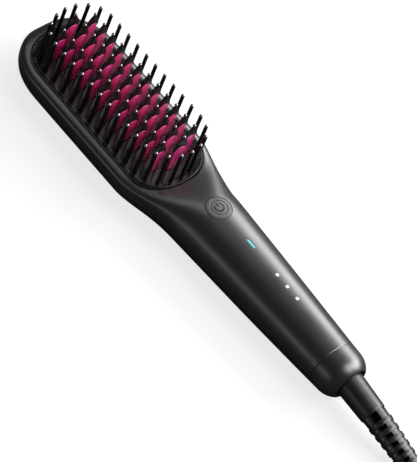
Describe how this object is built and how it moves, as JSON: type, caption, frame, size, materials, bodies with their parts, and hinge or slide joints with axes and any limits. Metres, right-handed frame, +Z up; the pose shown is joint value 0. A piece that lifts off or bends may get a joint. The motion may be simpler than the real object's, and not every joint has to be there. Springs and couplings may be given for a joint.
{
  "type": "hair straightening brush",
  "caption": "Heated hair straightening brush with rows of capped heating fins ringed by guard pins, a power button, lights and a swivelling mains cord.",
  "frame": {"origin": "middle of the brush's length, on the surface that its back lies on", "axes": "+X from the head tip to the cord end, +Z up along the pins, +Y to the brush's right seen from the head"},
  "size_m": [0.4859, 0.098, 0.0546],
  "materials": {
    "shell_black": "soft-touch satin",
    "gloss_black": "glossy",
    "fin_magenta": "metallic satin coat",
    "cap_black": "satin",
    "ceramic_white": "ceramic",
    "mica_tan": "matt",
    "clamp_aluminium": "mill",
    "screw_steel": "zinc plated",
    "sensor_blue": "glossy",
    "lead_red": "silicone",
    "board_green": "solder mask",
    "component_black": "matt",
    "plunger_grey": "matt",
    "lamp_cream": "clear resin",
    "capacitor_blue": "sleeved",
    "button_black": "satin",
    "light_cyan": "lit light guide",
    "light_white": "lit light guide",
    "contact_brass": "bright",
    "relief_rubber": "matt",
    "cord_rubber": "matt sheath",
    "pin_nickel": "nickel plated"
  },
  "bodies": {
    "brush": {"front_shell": "shell_black", "back_shell": "shell_black", "bristle_bed": "gloss_black", "bristle_pins": "gloss_black", "bed_trim": "gloss_black", "heating_plate": "fin_magenta", "heating_fins": "fin_magenta", "fin_caps": "cap_black", "heater_strips": "ceramic_white", "insulation_pad": "mica_tan", "heater_clamp": "clamp_aluminium", "clamp_screws": "screw_steel", "plate_screws": "screw_steel", "thermal_fuse": "ceramic_white", "thermistor": "sensor_blue", "heater_leads": "lead_red", "circuit_board": "board_green", "board_screws": "screw_steel", "tact_switch": "component_black", "status_leds": "lamp_cream", "capacitor": "capacitor_blue", "triac": "component_black", "supply_leads": "lead_red", "button_bezel": "button_black", "light_window": "light_cyan", "light_dots": "light_white", "case_screws": "screw_steel", "contact_block": "ceramic_white", "contact_blades": "contact_brass", "end_cap": "shell_black"},
    "button": {"power_button": "button_black", "switch_plunger": "plunger_grey"},
    "swivel": {"swivel_shaft": "component_black", "slip_rings": "contact_brass", "strain_relief": "relief_rubber", "cord_lead": "cord_rubber", "cord_coil": "cord_rubber", "cord_tail": "cord_rubber", "plug_body": "cord_rubber", "plug_pins": "pin_nickel"}
  },
  "joints": [
    {"name": "button_press", "type": "slide", "parent": "brush", "child": "button", "axis": [0, 0, -1], "range_m": [0, 0.0008], "stiffness_N_per_m": 1500, "springref_m": -0.0004},
    {"name": "cord_swivel", "type": "hinge", "parent": "brush", "child": "swivel", "pos_m": [0.1333, 0, 0.0161], "axis": [1, 0, 0], "continuous": true}
  ]
}
